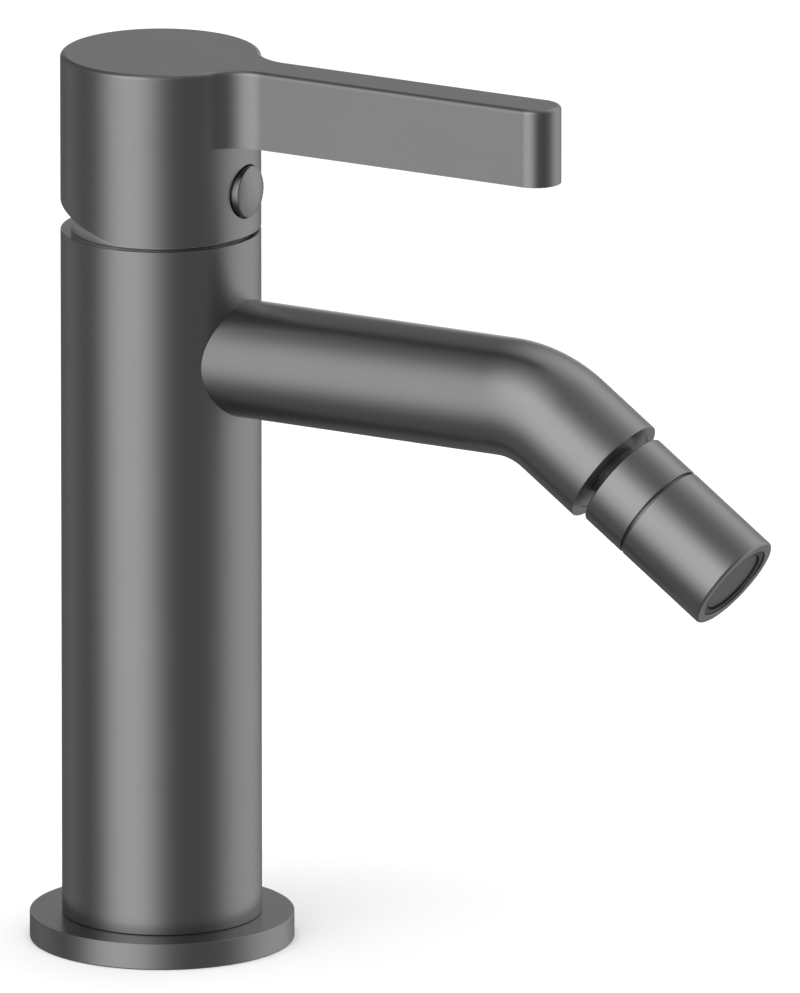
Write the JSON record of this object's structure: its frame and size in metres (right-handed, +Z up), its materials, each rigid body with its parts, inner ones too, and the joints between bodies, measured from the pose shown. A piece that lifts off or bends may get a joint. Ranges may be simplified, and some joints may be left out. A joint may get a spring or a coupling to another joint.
{
  "type": "bidet mixer",
  "caption": "Single-lever bidet mixer on a round base flange, with a flat bar lever, a bent round spout and a ball-jointed nozzle.",
  "frame": {"origin": "centre of the base flange's underside, on the deck", "axes": "+Z up along the column, +X along the spout and the lever, +Y to the right of a person facing the spout"},
  "size_m": [0.1392, 0.045, 0.1547],
  "materials": {
    "gunmetal": "finely brushed gun-metal grey coating over brass",
    "brass": "plain machined brass",
    "copper": "drawn copper tube",
    "rubber": "smooth black rubber",
    "ceramic": "lapped white ceramic",
    "dark_plastic": "moulded dark plastic",
    "pale_plastic": "moulded pale plastic",
    "grey_plastic": "moulded grey plastic",
    "steel": "plain stainless steel"
  },
  "bodies": {
    "mixer": {"base_flange": "gunmetal", "deck_seal": "rubber", "column": "gunmetal", "base_block": "brass", "base_block_ring": "rubber", "hot_inlet_tube": "copper", "cold_inlet_tube": "copper", "tube_rings": "rubber", "valve_body": "brass", "valve_body_rings": "rubber", "spout": "gunmetal", "adaptor_washer": "rubber", "spout_adaptor": "gunmetal", "neck_ring": "rubber", "cartridge_plate": "dark_plastic", "port_seals": "rubber", "fixed_disc": "ceramic", "cartridge_housing": "pale_plastic", "retaining_nut": "brass", "nut_cover": "gunmetal"},
    "rotor": {"cartridge_rotor": "dark_plastic", "pivot_pin": "steel"},
    "disc": {"moving_disc": "ceramic", "disc_carrier": "pale_plastic"},
    "handle": {"cartridge_stem": "steel", "lever_handle": "gunmetal", "set_screw": "steel", "cover_plug": "gunmetal"},
    "ball": {"swivel_ball": "gunmetal", "neck_clip": "steel"},
    "seat": {"ball_seat": "pale_plastic"},
    "nozzle": {"swivel_collar": "gunmetal", "collar_ring": "rubber", "nozzle_sleeve": "gunmetal", "aerator_housing": "dark_plastic", "flow_regulator": "dark_plastic", "air_screen": "steel", "flow_straightener": "pale_plastic", "outlet_disc": "grey_plastic"}
  },
  "joints": [
    {"name": "handle_turn", "type": "hinge", "parent": "mixer", "child": "rotor", "pos_m": [0, 0, 0.122], "axis": [0, 0, 1], "range_deg": [-50, 50]},
    {"name": "handle_lift", "type": "hinge", "parent": "rotor", "child": "handle", "pos_m": [0, 0, 0.122], "axis": [0, -1, 0], "range_deg": [0, 17]},
    {"name": "disc_slide", "type": "slide", "parent": "rotor", "child": "disc", "axis": [1, 0, 0], "range_m": [0, 0.0019]},
    {"name": "ball_turn", "type": "hinge", "parent": "mixer", "child": "ball", "pos_m": [0.09283, 0, 0.08986], "axis": [0.8192, 0, -0.5736], "continuous": true},
    {"name": "nozzle_tilt", "type": "hinge", "parent": "ball", "child": "seat", "pos_m": [0.09283, 0, 0.08986], "axis": [0, 1, 0], "range_deg": [-12, 12]},
    {"name": "nozzle_spin", "type": "hinge", "parent": "seat", "child": "nozzle", "pos_m": [0.09283, 0, 0.08986], "axis": [0.8192, 0, -0.5736], "continuous": true}
  ],
  "couplings": [
    {"joint": "disc_slide", "follows": "handle_lift", "m_per_rad": 0.0063}
  ]
}
